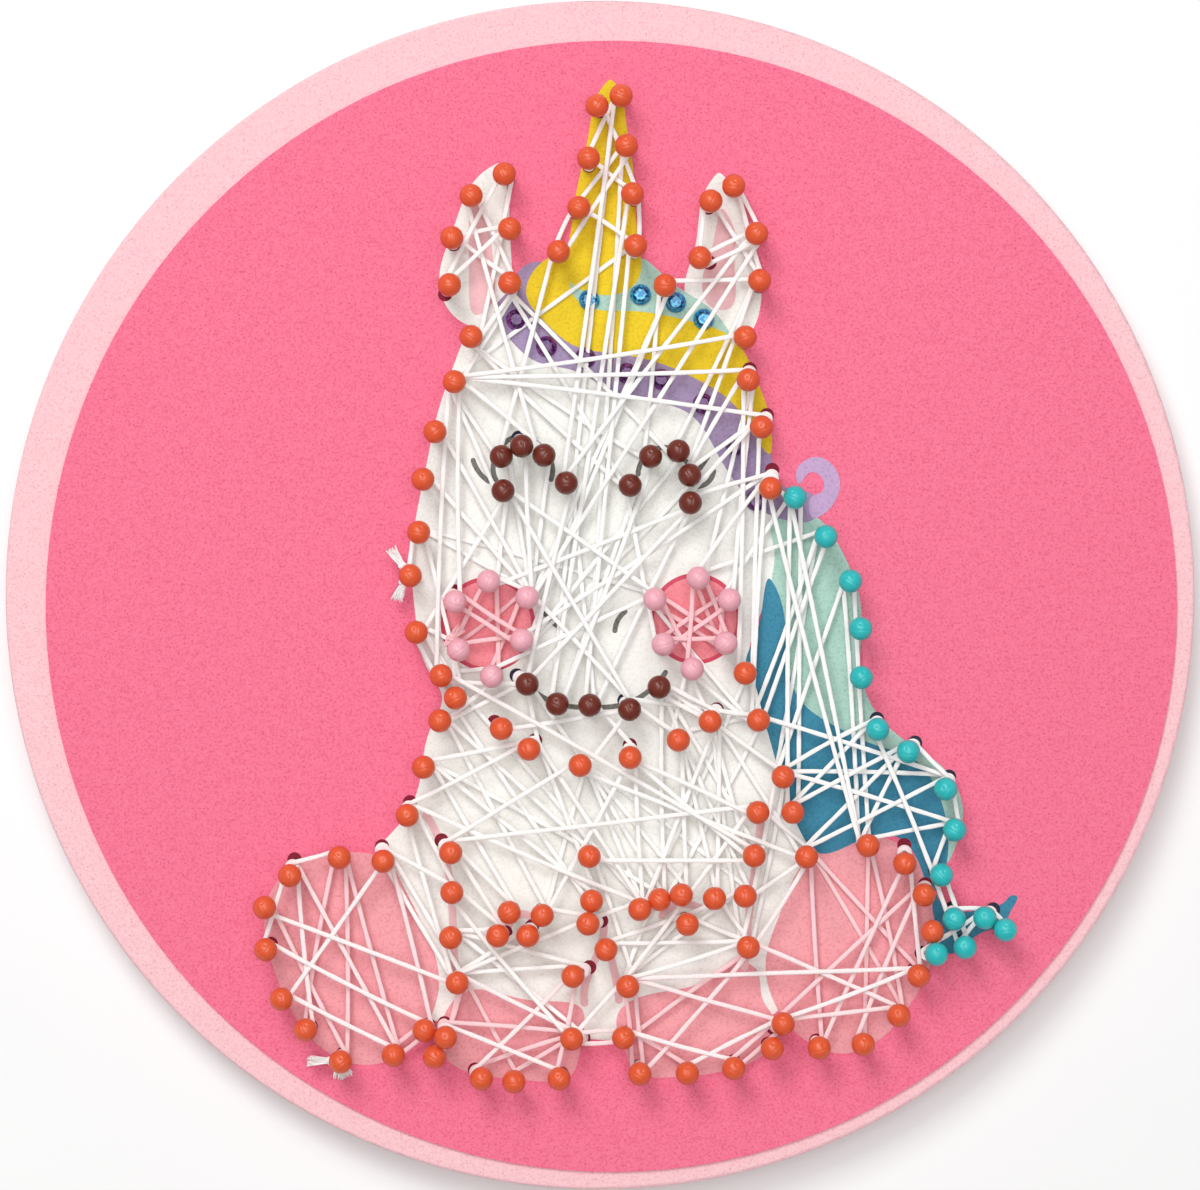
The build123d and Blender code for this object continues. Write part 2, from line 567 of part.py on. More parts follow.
def clearest_sides(start_pin, end_pin, height):
    """The sides on which a run keeps furthest from every other needle."""
    others = [pin for pin in PIN_NAMES if pin not in (start_pin, end_pin)]

    def clearance(sides):
        line = middle_line(start_pin, end_pin, height, sides)
        return min(distance(needle_at(pin, height), *line) for pin in others)

    choices = [(1, 1), (-1, -1), (1, -1), (-1, 1)]
    return max(choices, key=lambda sides: min(clearance(sides), SIDE_OFFSET))


def turning(start, end, point):
    """Positive where a point lies to the left of the way from start to end."""
    return (end - start).cross(point - start).Z


def cross(first, second):
    """Whether two middle lines pass within a thread's width of each other."""
    (a, b), (c, d) = first, second
    if turning(a, b, c) * turning(a, b, d) < 0 and turning(c, d, a) * turning(c, d, b) < 0:
        return True
    ends = (distance(a, c, d), distance(b, c, d), distance(c, a, b), distance(d, a, b))
    return min(ends) < THREAD_WIDTH


def level_height(level):
    """Underside of a thread level above the printed face."""
    return LOWEST_LEVEL + LEVEL_STEP * level


def settle(runs):
    """Each run's pins, sides and level, where it crosses the fewest others near the level it wants.

    Those that want the highest levels choose first."""
    placed = []
    settled = {}
    height = level_height(LEVELS / 2)
    for place in sorted(range(len(runs)), key=lambda place: -runs[place][2]):
        start_pin, end_pin, wanted = runs[place]
        pins = {start_pin, end_pin}
        sides = clearest_sides(start_pin, end_pin, height)
        if any(pins == other_pins for _, other_pins, _ in placed):
            sides = (-sides[0], -sides[1])
        line = middle_line(start_pin, end_pin, height, sides)
        crowd = [0] * LEVELS
        for other_line, other_pins, level in placed:
            if other_pins & pins or cross(line, other_line):
                crowd[level] += 1
        for pin in pins & set(CUT_ENDS):
            crowd[TAIL_LEVEL] += 1
        best = min(range(LEVELS), key=lambda level: (crowd[level], abs(level - wanted)))
        placed.append((line, pins, best))
        settled[place] = (start_pin, end_pin, sides, best)
    return [settled[place] for place in range(len(runs))]


def thread_run(start_pin, end_pin, sides, level):
    """One straight run with its turn round the needle at either end."""
    height = level_height(level)
    start, end = middle_line(start_pin, end_pin, height, sides)
    along = end - start
    needle_places = [needle_at(start_pin, height), needle_at(end_pin, height)]
    with BuildPart() as run:
        with BuildSketch(Plane.XY.offset(FACE_TOP + height)):
            with Locations(*needle_places):
                Circle(WRAP_RADIUS)
            with Locations((start + end) / 2):
                Rectangle(along.length, THREAD_WIDTH, rotation=math.degrees(math.atan2(along.Y, along.X)))
            with Locations(*needle_places):
                Circle(HOLE_RADIUS, mode=Mode.SUBTRACT)
        extrude(amount=THREAD_THICKNESS)
    return run.part


PIN_NAMES = [
    letter + str(index)
    for letter, group in PIN_LETTERS.items()
    for index in range(len(ALL_PINS[group]))
]
runs_of = {label: read_runs(text) for label, text in THREAD_RUNS.items()}
settled_runs = iter(settle([run for runs in runs_of.values() for run in runs]))
for label, runs in runs_of.items():
    save(Compound([thread_run(*next(settled_runs)) for _ in runs]), f"thread_{label}")

cut_ends = []
for pin, ends in CUT_ENDS.items():
    height = level_height(TAIL_LEVEL)
    needle = needle_at(pin, height)
    with BuildPart() as knot:
        with BuildSketch(Plane.XY.offset(FACE_TOP + height)):
            with Locations(needle):
                Circle(WRAP_RADIUS)
            for end in ends:
                with BuildLine(mode=Mode.PRIVATE) as lay:
                    Polyline((needle.X, needle.Y), *end)
                trace(lay.line, line_width=THREAD_WIDTH)
            with Locations(needle):
                Circle(HOLE_RADIUS, mode=Mode.SUBTRACT)
        extrude(amount=THREAD_THICKNESS)
    cut_ends.append(knot.part)
save(Compound(cut_ends), "thread_cut_ends")
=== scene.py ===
"""The looks of a pin-and-thread picture: yarn, moulded pin heads, cut stones, foam and ink."""
import json
import math

import bpy
import numpy as np
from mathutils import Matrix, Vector


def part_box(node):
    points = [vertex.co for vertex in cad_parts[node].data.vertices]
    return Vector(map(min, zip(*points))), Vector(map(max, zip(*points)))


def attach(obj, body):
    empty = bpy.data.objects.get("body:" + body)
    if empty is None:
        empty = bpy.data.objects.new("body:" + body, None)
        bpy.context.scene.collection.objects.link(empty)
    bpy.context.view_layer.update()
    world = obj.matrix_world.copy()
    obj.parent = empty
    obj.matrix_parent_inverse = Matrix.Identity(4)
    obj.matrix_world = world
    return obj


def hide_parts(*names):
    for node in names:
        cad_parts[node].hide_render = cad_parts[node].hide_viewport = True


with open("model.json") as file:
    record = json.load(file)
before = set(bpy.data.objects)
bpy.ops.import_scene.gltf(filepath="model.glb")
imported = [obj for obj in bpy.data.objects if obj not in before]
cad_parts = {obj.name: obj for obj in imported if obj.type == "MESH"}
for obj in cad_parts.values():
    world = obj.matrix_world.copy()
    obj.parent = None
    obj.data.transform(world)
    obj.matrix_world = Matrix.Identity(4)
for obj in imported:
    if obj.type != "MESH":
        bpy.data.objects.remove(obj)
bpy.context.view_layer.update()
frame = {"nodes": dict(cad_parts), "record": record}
nodes = frame["nodes"]
MM = 0.001
rng = np.random.default_rng(7)

# ---------------------------------------------------------------- driving values, in millimetres
YARN_WIDTH = 0.75
YARN_THICKNESS = 0.34
HOLE_RADIUS = 0.5                # inside of a thread's turn round a needle
TURN_RADIUS = HOLE_RADIUS + YARN_WIDTH / 2
TURN_ANGLE = math.radians(290)   # how far a run is wound round its needle at either end
TURN_POINTS = 18
STEP = 0.4                       # between sections of yarn
SECTION_POINTS = 14
FILAMENTS = 5                    # strands that show across the yarn
TAPER = 0.6                      # how far from its ends the yarn narrows
SLACK = 0.035                    # usual bow of a run 1 mm long, more on a longer one
RING_TOLERANCE = 0.06            # how close a corner point is to the ring that it belongs to
HEAD_RADIUS = 1.95
HEAD_SEGMENTS = 60
HEAD_RINGS = 34
COLLAR_RADIUS = 0.95
COLLAR_LENGTH = 0.7
COLLAR_EDGE = 0.1                # chamfer at the collar's foot
NEEDLE_RADIUS = 0.4
SOCKET_RADIUS = NEEDLE_RADIUS + 0.02
SOCKET_DEPTH = 0.3               # of the closed hole in the collar
DIMPLE_TILT = math.radians(27)
DIMPLE_RADIUS = 0.26
DIMPLE_DEPTH = 0.16
SEAM_DEPTH = 0.07
SEAM_RADIUS = 0.1
STONE_SIDES = 16
CROWN_SIDES = STONE_SIDES // 2
STONE_RADIUS = 1.75
STONE_FOOT_RADIUS = STONE_RADIUS * 0.97
STONE_HEIGHT = 1.2
GIRDLE_HEIGHT = 0.35
KITE_RADIUS = 1.38
KITE_HEIGHT = 0.86
TABLE_RADIUS = 0.95
KNOT_SIZE = 0.55
KNOT_POINTS = 60
FIBRES = 46                      # in a cut end
FIBRE_POINTS = 16
FIBRE_SIDES = 5
FIBRE_RADIUS = 0.09
# each cut end is a curve of three points that starts beside its pin
CUT_ENDS = {
    "thread_white": [
        [(-31.5, 3.2), (-33.4, 5.2), (-34.7, 7.6)],
        [(-31.5, 3.2), (-33.3, 1.6), (-33.9, -0.8)],
        [(-43.1, -77.5), (-45.6, -77.9), (-48.6, -77.8)],
        [(-43.1, -77.5), (-43.9, -79.3), (-43.8, -80.8)],
        [(-43.1, -77.5), (-42.6, -79.0), (-42.0, -80.3)],
    ],
    "thread_pink": [[(-26.0, -8.4), (-24.6, -6.9), (-23.2, -5.6)]],
}


# ---------------------------------------------------------------- materials
def linear(colour):
    """Linear colour from the usual 0 to 255 one."""
    return [(c / 255 / 12.92 if c <= 10 else ((c / 255 + 0.055) / 1.055) ** 2.4) for c in colour] + [1]


class Paint:
    """A material on the object's own coordinates, built from a few noise layers."""

    def __init__(self, name, colour, roughness=0.7, **constants):
        self.material = bpy.data.materials.new(name)
        self.material.use_nodes = True
        self.tree = self.material.node_tree
        self.shader = self.tree.nodes["Principled BSDF"]
        self.shader.inputs["Roughness"].default_value = roughness
        for socket, value in constants.items():
            self.shader.inputs[socket.replace("_", " ")].default_value = value
        self.place = self.tree.nodes.new("ShaderNodeTexCoord").outputs["Object"]
        base = self.tree.nodes.new("ShaderNodeRGB")
        base.outputs[0].default_value = linear(colour)
        self.colour = base.outputs[0]
        self.height = None

    def noise(self, size_mm, detail=2.0, stretch=None):
        """A noise value whose features are about this size."""
        place = self.place
        if stretch:
            scaling = self.tree.nodes.new("ShaderNodeMapping")
            scaling.inputs["Scale"].default_value = stretch
            self.tree.links.new(place, scaling.inputs["Vector"])
            place = scaling.outputs["Vector"]
        texture = self.tree.nodes.new("ShaderNodeTexNoise")
        texture.inputs["Scale"].default_value = 1 / (size_mm * MM)
        texture.inputs["Detail"].default_value = detail
        self.tree.links.new(place, texture.inputs["Vector"])
        return texture.outputs["Fac"]

    def ramp(self, value, low, high):
        """Spread the values between low and high over 0 to 1."""
        spread = self.tree.nodes.new("ShaderNodeMapRange")
        spread.inputs["From Min"].default_value = low
        spread.inputs["From Max"].default_value = high
        self.tree.links.new(value, spread.inputs["Value"])
        return spread.outputs["Result"]

    def tint(self, value, colour, most=1.0):
        """Where value is 1, the colour turns by that much towards another."""
        share = self.tree.nodes.new("ShaderNodeMath")
        share.operation = "MULTIPLY"
        share.inputs[1].default_value = most
        self.tree.links.new(value, share.inputs[0])
        mix = self.tree.nodes.new("ShaderNodeMix")
        mix.data_type = "RGBA"
        self.tree.links.new(share.outputs[0], mix.inputs[0])
        self.tree.links.new(self.colour, mix.inputs[6])
        mix.inputs[7].default_value = linear(colour)
        self.colour = mix.outputs[2]
        return self

    def rough(self, value, low, high):
        """Roughness between two values."""
        spread = self.tree.nodes.new("ShaderNodeMapRange")
        spread.inputs["To Min"].default_value = low
        spread.inputs["To Max"].default_value = high
        self.tree.links.new(value, spread.inputs["Value"])
        self.tree.links.new(spread.outputs["Result"], self.shader.inputs["Roughness"])
        return self

    def bump(self, value, depth_mm, strength=1.0):
        """Small relief of this depth."""
        relief = self.tree.nodes.new("ShaderNodeBump")
        relief.inputs["Distance"].default_value = depth_mm * MM
        relief.inputs["Strength"].default_value = strength
        self.tree.links.new(value, relief.inputs["Height"])
        if self.height is not None:
            self.tree.links.new(self.height, relief.inputs["Normal"])
        self.height = relief.outputs["Normal"]
        return self

    def done(self):
        """The finished material."""
        self.tree.links.new(self.colour, self.shader.inputs["Base Color"])
        if self.height is not None:
            self.tree.links.new(self.height, self.shader.inputs["Normal"])
        return self.material


def foam(name, colour, dark, light):
    """Closed-cell foam sheet: a mottled colour, scattered darker cells and a fine open grain."""
    paint = Paint(name, colour, 0.85, Specular_IOR_Level=0.25)
    paint.tint(paint.ramp(paint.noise(1.5, 3), 0.35, 0.75), light, 0.35)
    paint.tint(paint.ramp(paint.noise(0.5, 2), 0.48, 0.7), dark, 0.36)
    paint.tint(paint.ramp(paint.noise(0.33, 0), 0.63, 0.8), dark, 0.6)
    paint.bump(paint.noise(0.25, 2), 0.04, 0.5)
    return paint.done()


def ink(name, colour, dark, most=0.45):
    """A thin coat of ink on the foam, whose cells still show through."""
    paint = Paint(name, colour, 0.7, Specular_IOR_Level=0.3)
    paint.tint(paint.ramp(paint.noise(0.45, 2), 0.48, 0.72), dark, most)
    paint.tint(paint.ramp(paint.noise(4.0, 2), 0.45, 0.75), dark, 0.12)
    paint.bump(paint.noise(0.3, 2), 0.04, 0.4)
    return paint.done()


def moulded(name, colour, dark, light):
    """Satin moulded plastic with a faint flow pattern."""
    paint = Paint(name, colour, 0.35, Specular_IOR_Level=0.5, Subsurface_Weight=0.05, Subsurface_Scale=0.001)
    paint.tint(paint.ramp(paint.noise(1.6, 3), 0.4, 0.7), light, 0.25)
    paint.tint(paint.ramp(paint.noise(0.6, 1), 0.6, 0.8), dark, 0.25)
    paint.rough(paint.noise(0.5, 2), 0.26, 0.42)
    paint.bump(paint.noise(0.35, 2), 0.008, 0.4)
    return paint.done()


def yarn_material(name, colour, shade, bounce_colour=None):
    """Soft filament yarn with fine relief and a faint change of tone.

    Runs that lie low take a pink tint, where one is given: painted reflection of the pink ink under them,
    full up to 2.6 mm over the print and none from 4.2 mm up."""
    paint = Paint(name, colour, 0.85, Sheen_Weight=0.3, Sheen_Roughness=0.5, Specular_IOR_Level=0.2)
    if bounce_colour:
        split = paint.tree.nodes.new("ShaderNodeSeparateXYZ")
        paint.tree.links.new(paint.place, split.inputs["Vector"])
        face_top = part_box("ink_figure")[0].z
        # heights where the painted pink reflection of the print is none and where it is full
        no_bounce_height, full_bounce_height = face_top + 4.2 * MM, face_top + 2.6 * MM
        paint.tint(paint.ramp(split.outputs["Z"], no_bounce_height, full_bounce_height), bounce_colour)
    paint.tint(paint.ramp(paint.noise(0.3, 3), 0.45, 0.75), shade, 0.6)
    paint.bump(paint.noise(0.12, 3), 0.03, 0.5)
    return paint.done()


def metal(name, colour):
    """Drawn and plated wire, with faint lines along it."""
    paint = Paint(name, colour, 0.3, Metallic=1.0)
    paint.tint(paint.ramp(paint.noise(0.5, 3, (8, 8, 1)), 0.4, 0.7), (150, 148, 145), 0.5)
    paint.rough(paint.noise(0.4, 3), 0.2, 0.4)
    return paint.done()


def jewel(name, colour, painted_glint, roughness=0.08):
    """Coloured acrylic over foil, as it shows on one ring of facets: its colour holds that ring's painted
    light and shade, with spots of painted glint.
    """
    paint = Paint(name, colour, roughness, Metallic=0.2, Coat_Weight=0.3, Coat_Roughness=0.04)
    # spots of painted glint, standing in for reflections of the lamps
    paint.tint(paint.ramp(paint.noise(0.5, 0), 0.5, 0.65), painted_glint, 0.7)
    return paint.done()


def glue(name):
    """Dried clear glue."""
    paint = Paint(name, (236, 230, 220), 0.35)
    paint.tint(paint.ramp(paint.noise(0.8, 2), 0.4, 0.7), (214, 204, 190), 0.5)
    paint.bump(paint.noise(0.6, 2), 0.03, 0.4)
    return paint.done()


materials = {
    "foam": foam("foam_light_pink", (249, 200, 206), (226, 156, 166), (255, 218, 222)),
    "printed_face": foam("foam_hot_pink", (246, 119, 149), (206, 66, 104), (252, 140, 168)),
    "glue": glue("dried_glue"),
    "ink_white": ink("ink_white", (244, 244, 239), (206, 202, 196), 0.35),
    "ink_rose": ink("ink_rose", (240, 165, 172), (205, 110, 122)),
    "ink_blush": ink("ink_blush", (238, 192, 196), (216, 160, 166), 0.35),
    "ink_yellow": ink("ink_yellow", (235, 205, 30), (196, 160, 30)),
    "ink_mint": ink("ink_mint", (176, 212, 198), (122, 166, 154)),
    "ink_teal": ink("ink_teal", (60, 138, 166), (30, 94, 124)),
    "ink_lavender": ink("ink_lavender", (166, 146, 182), (116, 94, 136)),
    "ink_lilac": ink("ink_lilac", (200, 168, 208), (158, 120, 170)),
    "ink_cheek": ink("ink_coral", (244, 146, 156), (212, 100, 116)),
    "ink_cheek_ring": ink("ink_crimson", (214, 78, 102), (170, 44, 72)),
    "ink_grey": ink("ink_grey", (118, 116, 110), (70, 68, 64), 0.7),
    "ink_mark": ink("ink_mark", (140, 18, 48), (74, 8, 26)),
    "ink_navy": ink("ink_navy", (44, 44, 66), (20, 20, 36)),
    "head_orange": moulded("plastic_orange", (228, 90, 48), (176, 48, 22), (244, 110, 62)),
    "head_brown": moulded("plastic_brown", (110, 43, 30), (62, 22, 15), (136, 60, 42)),
    "head_pink": moulded("plastic_pink", (242, 174, 188), (222, 134, 154), (250, 196, 206)),
    "head_turquoise": moulded("plastic_turquoise", (38, 188, 190), (18, 146, 152), (84, 214, 212)),
    "needle": metal("plated_steel", (206, 204, 200)),
    "thread_white": yarn_material("yarn_white", (255, 255, 253), (236, 234, 230)),
    "thread_pink": yarn_material("yarn_pink", (254, 208, 212), (244, 172, 182)),
    # White yarn over the hooves: its pinkish tone change and its low runs' pink tint are painted reflection
    # of the pink print under it.
    "thread_hooves": yarn_material("yarn_over_hooves", (254, 250, 249), (240, 206, 208), (253, 212, 216)),
}
# Each stone colour comes in three copies, one to a ring of facets: the rim lighter, the ring darker and the
# table between, as painted light and shade. The second colour of each is a painted glint.
jewels = {
    "stone_blue": [
        jewel("blue_rim", (16, 128, 196), (70, 190, 236)),
        jewel("blue_ring", (10, 62, 104), (80, 196, 236)),
        jewel("blue_table", (24, 116, 170), (90, 206, 240)),
    ],
    "stone_purple": [
        jewel("purple_rim", (84, 18, 98), (150, 60, 164)),
        jewel("purple_ring", (52, 10, 66), (150, 70, 170)),
        jewel("purple_table", (64, 14, 80), (110, 40, 130)),
    ],
}


# ---------------------------------------------------------------- reading the CAD meshes
def islands(node):
    """The corner points of each separate solid in a CAD node, in millimetres."""
    mesh = nodes[node].data
    places = np.empty(len(mesh.vertices) * 3)
    mesh.vertices.foreach_get("co", places)
    places = places.reshape(-1, 3) / MM
    edges = np.empty(len(mesh.edges) * 2, int)
    mesh.edges.foreach_get("vertices", edges)
    _, welded = np.unique(np.round(places, 4), axis=0, return_inverse=True)
    welded = welded.ravel()
    edges = welded[edges.reshape(-1, 2)]
    # every point takes the lowest number it is joined to, until nothing changes
    leader = np.arange(welded.max() + 1)
    changed = True
    while changed:
        lowest = np.minimum(leader[edges[:, 0]], leader[edges[:, 1]])
        before = leader.copy()
        np.minimum.at(leader, edges[:, 0], lowest)
        np.minimum.at(leader, edges[:, 1], lowest)
        leader = leader[leader]
        changed = not np.array_equal(before, leader)
    group = leader[welded]
    return [places[group == one] for one in np.unique(group)]


class Pin:
    """One needle's middle line, which points up, and the middle of its head's ball."""

    def __init__(self, corners):
        middle = corners.mean(0)
        along = np.linalg.svd(corners - middle)[2][0]
        along = along * np.sign(along[2])
        self.along = along
        self.middle = middle
        self.head = None

    def at(self, z):
        """Where the needle's middle line is at this height."""
        return self.middle[:2] + self.along[:2] * (z - self.middle[2]) / self.along[2]

    def distance(self, point):
        """From a point to the needle's middle line."""
        return np.linalg.norm(np.cross(point - self.middle, self.along))


HEAD_PREFIX = "pin_heads_"
HEAD_NODES = sorted(name for name in nodes if name.startswith(HEAD_PREFIX))
THREAD_NODES = sorted(name for name in nodes if name.startswith("thread_") and name != "thread_cut_ends")
pins = []
heads = {}
for head_node in HEAD_NODES:
    group = head_node.removeprefix(HEAD_PREFIX).split("_", 1)[1]
    group_pins = [Pin(corners) for corners in islands(f"pin_needles_{group}")]
    heads[head_node] = []
    for corners in islands(head_node):
        rough_middle = (corners.max(0) + corners.min(0)) / 2
        pin = min(group_pins, key=lambda one: one.distance(rough_middle))
        top = max((corners - pin.middle) @ pin.along)
        pin.head = pin.middle + pin.along * (top - HEAD_RADIUS)
        heads[head_node].append(pin)
    pins += group_pins


def run_ends(corners):
    """The two needles that a run's rings go round, and the height of its middle.

    They are the two whose hole's wall, at HOLE_RADIUS, has most of the run's corner points."""
    z = (corners[:, 2].min() + corners[:, 2].max()) / 2
    gaps = [np.abs(np.linalg.norm(corners[:, :2] - pin.at(z), axis=1) - HOLE_RADIUS) for pin in pins]
    found = sorted(range(len(pins)), key=lambda one: -int((gaps[one] < RING_TOLERANCE).sum()))[:2]
    return pins[found[0]], pins[found[1]], z


# ---------------------------------------------------------------- mesh helpers
def piece(name, corners, faces, slot, replaced=(), material_indices=None, looks=None):
    """A finished mesh piece, in millimetres until here, that rides on the root body.

    It is smooth in its slot's material. With material_indices it is faceted, in the materials of looks."""
    mesh = bpy.data.meshes.new(name)
    mesh.from_pydata((np.asarray(corners) * MM).tolist(), [], faces)
    mesh.update()
    mesh.polygons.foreach_set("use_smooth", [material_indices is None] * len(mesh.polygons))
    for material in looks or [materials[slot]]:
        mesh.materials.append(material)
    if material_indices is not None:
        mesh.polygons.foreach_set("material_index", material_indices)
    thing = bpy.data.objects.new(name, mesh)
    bpy.context.scene.collection.objects.link(thing)
    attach(thing, "root")
    if replaced:
        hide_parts(*replaced)
    return thing


class Heap:
    """Corner points and faces that are gathered into one mesh."""

    def __init__(self):
        self.corners = []
        self.faces = []
        self.indices = []
        self.count = 0

    def add(self, corners, faces, indices=()):
        """One more closed shape, and the material of each of its faces where they differ."""
        self.corners.append(corners)
        self.faces += [[self.count + one for one in face] for face in faces]
        self.indices += indices
        self.count += len(corners)


def tube(path, sections, offsets):
    """A closed tube through a path.

    Sections gives each point's across and up directions, and offsets its section's corners along them."""
    across, up = sections
    ring = path[:, None] + across[:, None] * offsets[..., :1] + up[:, None] * offsets[..., 1:]
    rings, points = ring.shape[:2]
    faces = []
    for step in range(rings - 1):
        low = step * points
        for one in range(points):
            following = (one + 1) % points
            faces.append([low + one, low + following, low + points + following, low + points + one])
    corners = ring.reshape(-1, 3)
    ends = np.array([ring[0].mean(0), ring[-1].mean(0)])
    first, last = len(corners), len(corners) + 1
    top = (rings - 1) * points
    for one in range(points):
        following = (one + 1) % points
        faces.append([first, following, one])
        faces.append([last, top + one, top + following])
    return np.vstack([corners, ends]), faces


# ---------------------------------------------------------------- yarn
def yarn(path, width=YARN_WIDTH, thickness=YARN_THICKNESS):
    """Flattened soft yarn along a path: several filaments that turn slowly round each other."""
    ahead = np.gradient(path, axis=0)
    ahead /= np.linalg.norm(ahead, axis=1)[:, None]
    across = np.stack([-ahead[:, 1], ahead[:, 0], np.zeros(len(path))], 1)
    across /= np.linalg.norm(across, axis=1)[:, None]
    up = np.cross(ahead, across)
    length = np.concatenate([[0], np.cumsum(np.linalg.norm(np.diff(path, axis=0), axis=1))])
    turn = np.linspace(0, 2 * math.pi, SECTION_POINTS, endpoint=False)
    phase = rng.uniform(0, 2 * math.pi, 4)
    swell = 1 + 0.05 * np.sin(length * 0.8 + phase[0]) + 0.04 * np.sin(length * 2.1 + phase[1])
    near_end = np.minimum(length, length[-1] - length)
    swell *= np.clip(near_end / TAPER, 0.25, 1) ** 0.5
    twist = length * 0.9 + phase[2]
    lobes = 1 + 0.055 * np.cos(FILAMENTS * turn[None] + twist[:, None])
    tilt = 0.12 * np.sin(length * 0.45 + phase[3])
    squareness = 0.85
    wide = np.sign(np.cos(turn)) * np.abs(np.cos(turn)) ** squareness * width / 2
    thick = np.sign(np.sin(turn)) * np.abs(np.sin(turn)) ** squareness * thickness / 2
    side = wide[None] * lobes * swell[:, None]
    rise = thick[None] * lobes * swell[:, None]
    turned_side = side * np.cos(tilt)[:, None] - rise * np.sin(tilt)[:, None] * 0.4
    turned_rise = rise * np.cos(tilt)[:, None] + side * np.sin(tilt)[:, None] * 0.4
    return tube(path, (across, up), np.stack([turned_side, turned_rise], 2))


def best_sides(start_pin, end_pin, z):
    """The sides, 1 or -1, on which a run keeps furthest from every other needle."""
    start, end = start_pin.at(z), end_pin.at(z)
    along = (end - start) / np.linalg.norm(end - start)
    left = np.array([-along[1], along[0]]) * TURN_RADIUS
    others = np.array([pin.at(z) for pin in pins if pin is not start_pin and pin is not end_pin])

    def clearance(sides):
        a, b = start + left * sides[0], end + left * sides[1]
        share = np.clip((others - a) @ (b - a) / ((b - a) @ (b - a)), 0, 1)
        return np.linalg.norm(others - a - share[:, None] * (b - a), axis=1).min()

    choices = [(1, 1), (-1, -1), (1, -1), (-1, 1)]
    return max(choices, key=lambda sides: min(clearance(sides), TURN_RADIUS))


joined = set()                   # the pairs of needles that a run joins already


def run_path(start_pin, end_pin, z):
    """From one needle to the next: most of a turn, a nearly straight run, and most of a turn.

    A second run between the same two needles takes their other sides."""
    start, end = start_pin.at(z), end_pin.at(z)
    along = (end - start) / np.linalg.norm(end - start)
    heading = math.atan2(along[1], along[0])
    left = np.array([-along[1], along[0]]) * TURN_RADIUS
    sides = best_sides(start_pin, end_pin, z)
    if frozenset((start_pin, end_pin)) in joined:
        sides = (-sides[0], -sides[1])
    joined.add(frozenset((start_pin, end_pin)))
    winding = np.linspace(0, TURN_ANGLE, TURN_POINTS)
    first = heading + sides[0] * (math.pi / 2 + winding[::-1])
    last = heading + sides[1] * (math.pi / 2 - winding)
    arc_in = start + TURN_RADIUS * np.stack([np.cos(first), np.sin(first)], 1)
    arc_out = end + TURN_RADIUS * np.stack([np.cos(last), np.sin(last)], 1)
    a, b = start + left * sides[0], end + left * sides[1]
    length = np.linalg.norm(b - a)
    share = np.linspace(0, 1, max(4, int(length / STEP)))[1:-1, None]
    slack = rng.normal(0, SLACK) * math.sqrt(length)
    wobble = slack * np.sin(math.pi * share) + rng.normal(0, 0.02) * np.sin(3 * math.pi * share)
    straight = a + (b - a) * share + left / TURN_RADIUS * wobble
    flat = np.vstack([arc_in, straight, arc_out])
    return np.column_stack([flat, np.full(len(flat), z)])


thread_length = 0.0
for thread_node in THREAD_NODES:
    heap = Heap()
    for corners in islands(thread_node):
        path = run_path(*run_ends(corners))
        thread_length += np.linalg.norm(np.diff(path, axis=0), axis=1).sum()
        heap.add(*yarn(path))
    slot = "thread_pink" if "cheek" in thread_node else "thread_white"
    # runs over the hooves take the white yarn with painted pink reflection
    look = "thread_hooves" if "hooves" in thread_node else slot
    name = "yarn_" + thread_node.removeprefix("thread_")
    piece(name, np.vstack(heap.corners), heap.faces, slot, [thread_node], looks=[materials[look]])
print(f"thread length {thread_length / 1000:.2f} m")


# ---------------------------------------------------------------- knots and frayed ends
def knot(centre):
    """A small overhand knot of yarn, along a trefoil curve."""
    turn = np.linspace(0, 2 * math.pi, KNOT_POINTS)
    x = np.sin(turn) + 2 * np.sin(2 * turn)
    y = np.cos(turn) - 2 * np.cos(2 * turn)
    z = -np.sin(3 * turn)
    path = np.stack([x * KNOT_SIZE / 3, y * KNOT_SIZE / 3, z * KNOT_SIZE / 2.2], 1) + centre
    return yarn(path, YARN_WIDTH * 0.8, YARN_THICKNESS * 1.3)


def frayed_end(points, z):
    """A cut end of yarn: it starts whole and opens into single fibres that curl apart."""
    shapes = []
    points = np.array(points, float)
    share = np.linspace(0, 1, FIBRE_POINTS)
    base = ((1 - share) ** 2)[:, None] * points[0] + (2 * share * (1 - share))[:, None] * points[1]
    base = base + (share**2)[:, None] * points[2]
    ahead = np.gradient(base, axis=0)
    ahead /= np.linalg.norm(ahead, axis=1)[:, None]
    left = np.stack([-ahead[:, 1], ahead[:, 0]], 1)
    for _ in range(FIBRES):
        spread = rng.uniform(-1, 1)
        curl = rng.uniform(-1, 1)
        opened = 0.3 + 0.6 * share**1.5
        away = spread * opened + 0.18 * curl * np.sin(share * rng.uniform(4, 9)) * share
        flat = base + left * away[:, None]
        reach = rng.uniform(0.8, 1.08)
        flat = flat[0] + (flat - flat[0]) * reach
        lift = z + rng.uniform(-0.12, 0.12) + rng.uniform(-0.25, 0.5) * share**2
        path = np.column_stack([flat, lift])
        turn = np.linspace(0, 2 * math.pi, FIBRE_SIDES, endpoint=False)
        thin = FIBRE_RADIUS * (1 - 0.4 * share)[:, None]
        offsets = np.stack([np.cos(turn)[None] * thin, np.sin(turn)[None] * thin], 2)
        across = np.column_stack([left, np.zeros(len(left))])
        up = np.tile([0.0, 0.0, 1.0], (len(left), 1))
        shapes.append(tube(path, (across, up), offsets))
    return shapes


